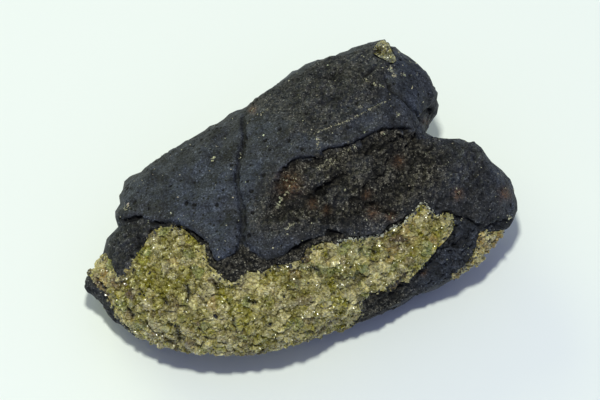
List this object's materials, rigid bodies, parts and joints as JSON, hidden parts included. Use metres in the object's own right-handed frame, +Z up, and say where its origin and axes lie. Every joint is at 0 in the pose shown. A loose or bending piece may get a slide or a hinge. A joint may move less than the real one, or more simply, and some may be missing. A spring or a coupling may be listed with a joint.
{
  "type": "dunite nodule in a basalt bomb",
  "caption": "Small volcanic bomb of two joined lobes: a dark basalt crust with a flow ledge and a broken hollow, wrapped round a granular olive-green dunite nodule.",
  "frame": {"origin": "centre of the stone's box, on the surface that the stone rests on", "axes": "+X along the longest extent, from the pointed end to the end of the side lobe; +Y away from the dunite face; +Z up"},
  "size_m": [0.1082, 0.083, 0.0447],
  "materials": {
    "basalt": "matt, finely pitted, bluish black to brownish black",
    "dunite": "sugary olive-green grains with glassy glints"
  },
  "bodies": {
    "root": {"basalt_crust": "basalt", "dunite_nodule": "dunite", "dunite_chip": "dunite"}
  },
  "joints": []
}
